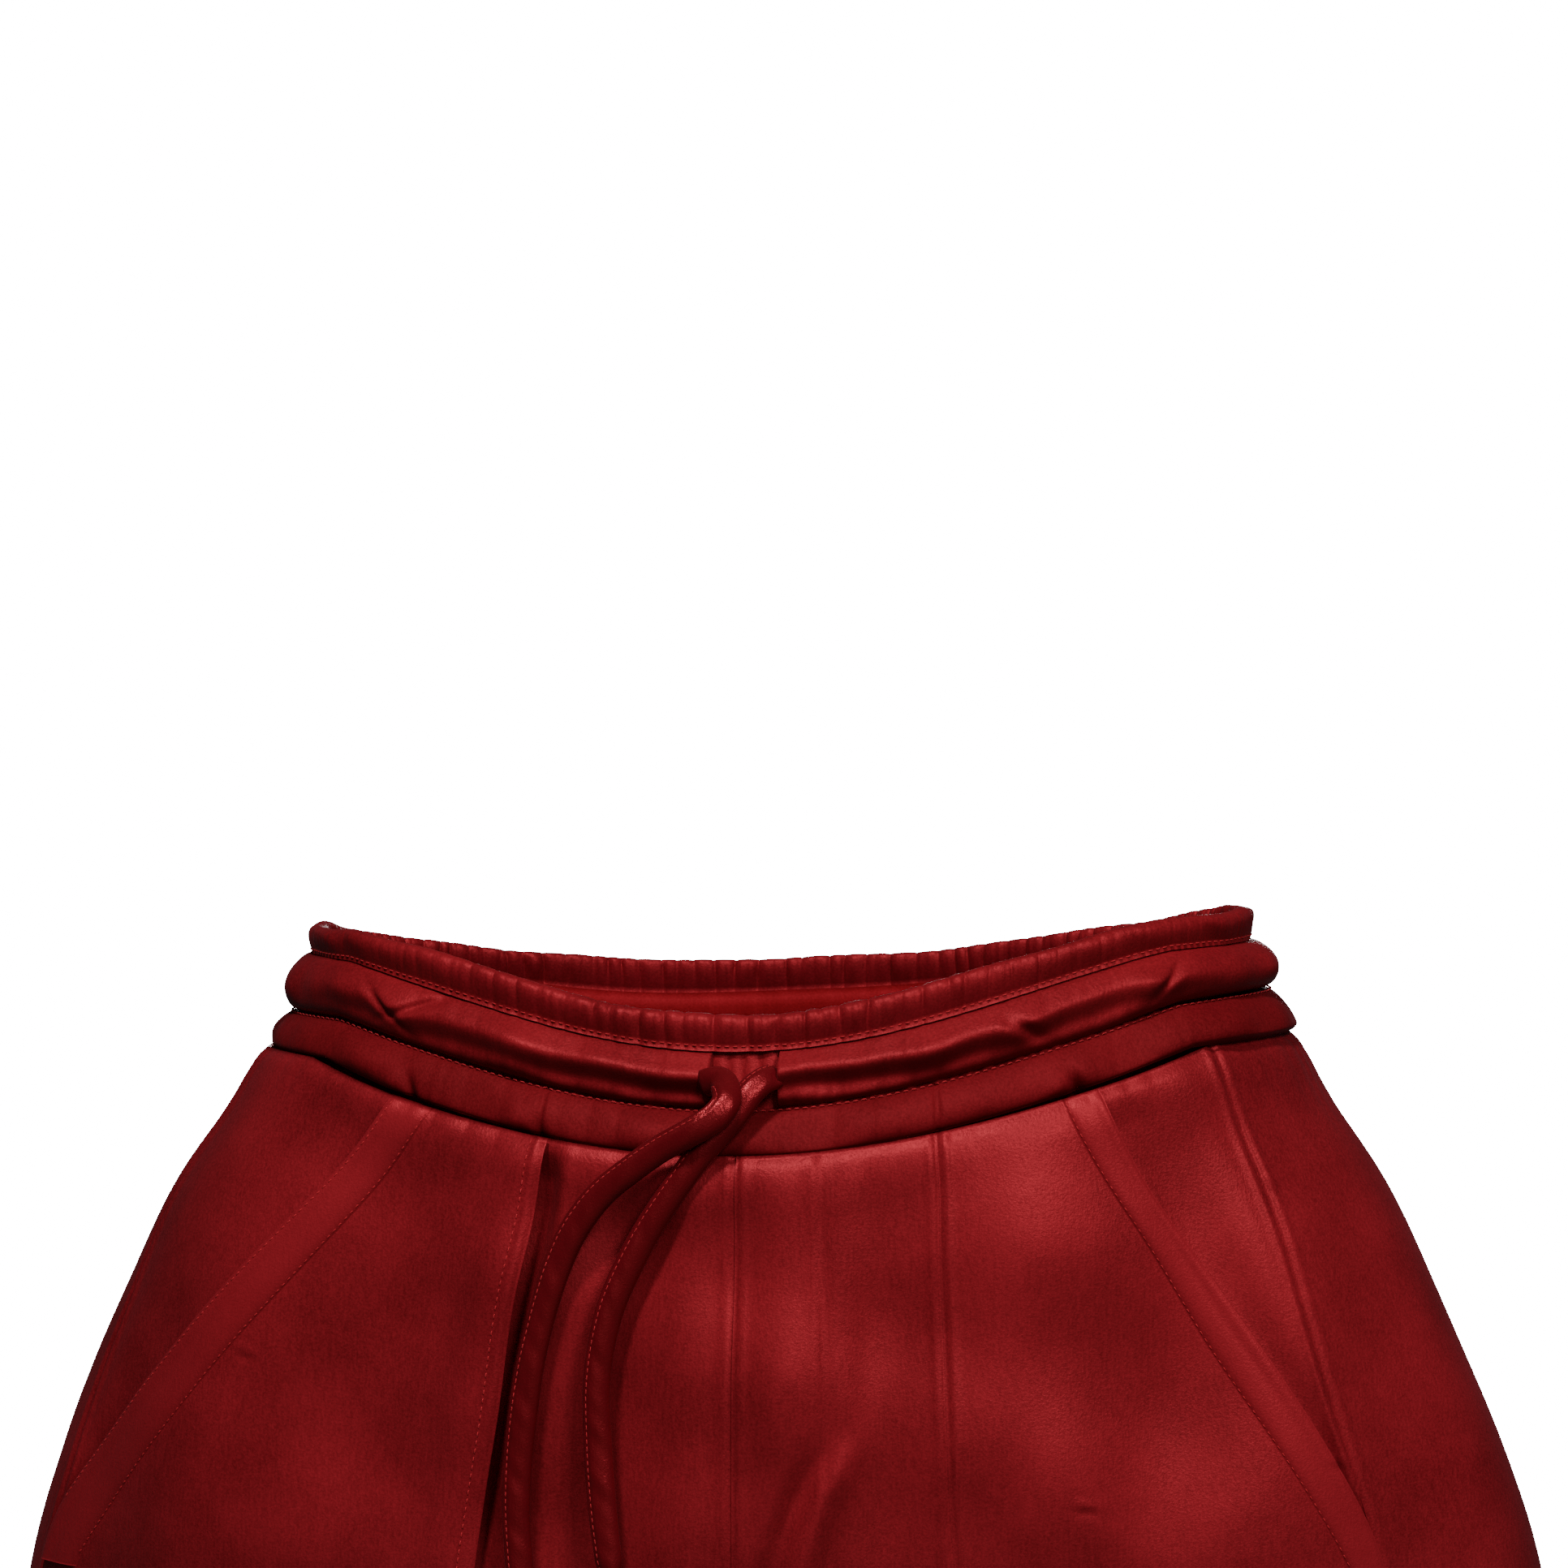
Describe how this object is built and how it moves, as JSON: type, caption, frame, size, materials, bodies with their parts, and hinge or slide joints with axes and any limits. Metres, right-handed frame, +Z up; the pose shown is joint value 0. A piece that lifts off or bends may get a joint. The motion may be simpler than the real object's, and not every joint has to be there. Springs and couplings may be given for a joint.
{
  "type": "boxing shorts",
  "caption": "Loose boxing shorts with a gathered waistband, drawcord tails out of an open tunnel, slanted welt pockets and wide vented legs.",
  "frame": {"origin": "centre of the waist opening, where the waistband is held", "axes": "+Z up towards the waist, -Y towards the front, +X towards the wearer's left"},
  "size_m": [0.5802, 0.2234, 0.4501],
  "materials": {
    "satin": "smooth satin-faced knit, soft sheen",
    "waistband": "gathered satin-faced knit, soft sheen",
    "trim": "edge-stitched satin-faced knit",
    "cord": "flat self-fabric strip, edge-stitched",
    "lining_face": "duller reverse of the same cloth",
    "elastic": "ribbed woven elastic"
  },
  "bodies": {
    "body": {"waist_heading": "waistband", "waist_facing": "lining_face", "waist_elastic": "elastic", "gathered_under_layer": "lining_face", "waist_lower_tier": "waistband", "cord_tunnel": "waistband", "cord_run_in_tunnel": "cord", "front_centre_right": "satin", "front_side_right": "satin", "side_right": "satin", "back_side_right": "satin", "back_centre_right": "satin", "pocket_welt_right": "trim", "pocket_bag_right": "lining_face", "inner_thigh_right": "satin", "front_centre_left": "satin", "front_side_left": "satin", "side_left": "satin", "back_side_left": "satin", "back_centre_left": "satin", "pocket_welt_left": "trim", "pocket_bag_left": "lining_face", "inner_thigh_left": "satin", "crotch_gusset": "satin"},
    "leg_right": {"leg_front_right": "satin", "leg_back_right": "satin", "leg_inner_right": "satin", "hem_band_right": "trim"},
    "leg_left": {"leg_front_left": "satin", "leg_back_left": "satin", "leg_inner_left": "satin", "hem_band_left": "trim"},
    "tail_right": {"drawcord_tail_right": "cord", "drawcord_knot_right": "cord"},
    "tail_left": {"drawcord_tail_left": "cord", "drawcord_knot_left": "cord"}
  },
  "joints": [
    {"name": "hip_fold_right", "type": "hinge", "parent": "body", "child": "leg_right", "pos_m": [-0.148, 0, -0.2], "axis": [-1, 0, 0], "range_deg": [-15, 40]},
    {"name": "hip_fold_left", "type": "hinge", "parent": "body", "child": "leg_left", "pos_m": [0.148, 0, -0.2], "axis": [-1, 0, 0], "range_deg": [-15, 40]},
    {"name": "cord_swing_right", "type": "hinge", "parent": "tail_left", "child": "tail_right", "pos_m": [-0.0082, -0.087, -0.0265], "axis": [-1, 0, 0], "range_deg": [0, 45]},
    {"name": "cord_swing_left", "type": "hinge", "parent": "body", "child": "tail_left", "pos_m": [0.008, -0.087, -0.0265], "axis": [-1, 0, 0], "range_deg": [0, 45]}
  ]
}
